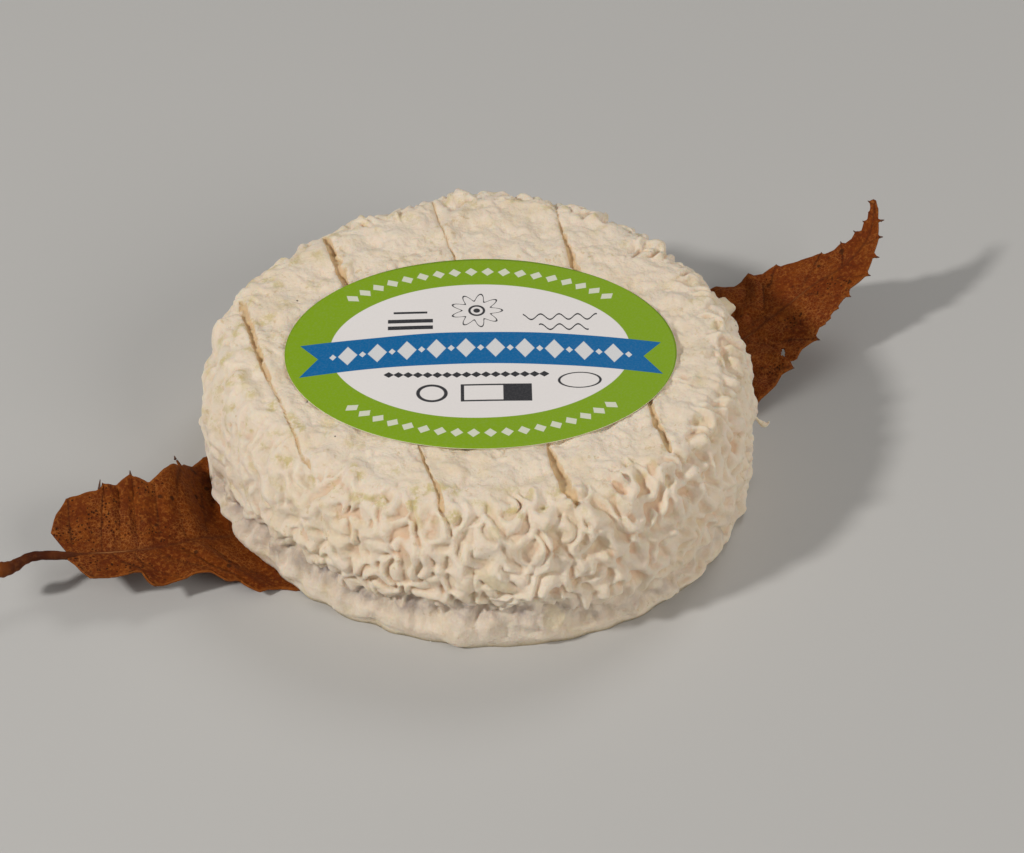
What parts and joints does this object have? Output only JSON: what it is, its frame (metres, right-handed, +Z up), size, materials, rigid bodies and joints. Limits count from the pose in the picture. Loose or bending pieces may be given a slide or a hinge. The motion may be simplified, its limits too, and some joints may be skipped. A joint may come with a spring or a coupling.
{
  "type": "raw milk goat cheese on a leaf",
  "caption": "Flat round of soft goat's milk cheese with a wrinkled ivory rind, lying on a dried toothed leaf with its stalk, with an oval paper label on top.",
  "frame": {"origin": "centre of the cheese's underside, on the surface that the part rests on", "axes": "+Z up, +X towards the viewer's right and roughly towards the leaf's tip, +Y away from the viewer"},
  "size_m": [0.1601, 0.0994, 0.028],
  "materials": {
    "rind": "matt, wrinkled ivory rind with a faint bloom",
    "dry_leaf": "matt red-brown dry leaf",
    "label_paper": "coated paper with a slight sheen, printed in flat fields of colour"
  },
  "bodies": {
    "root": {"cheese": "rind", "chestnut_leaf": "dry_leaf", "label": "label_paper"}
  },
  "joints": []
}
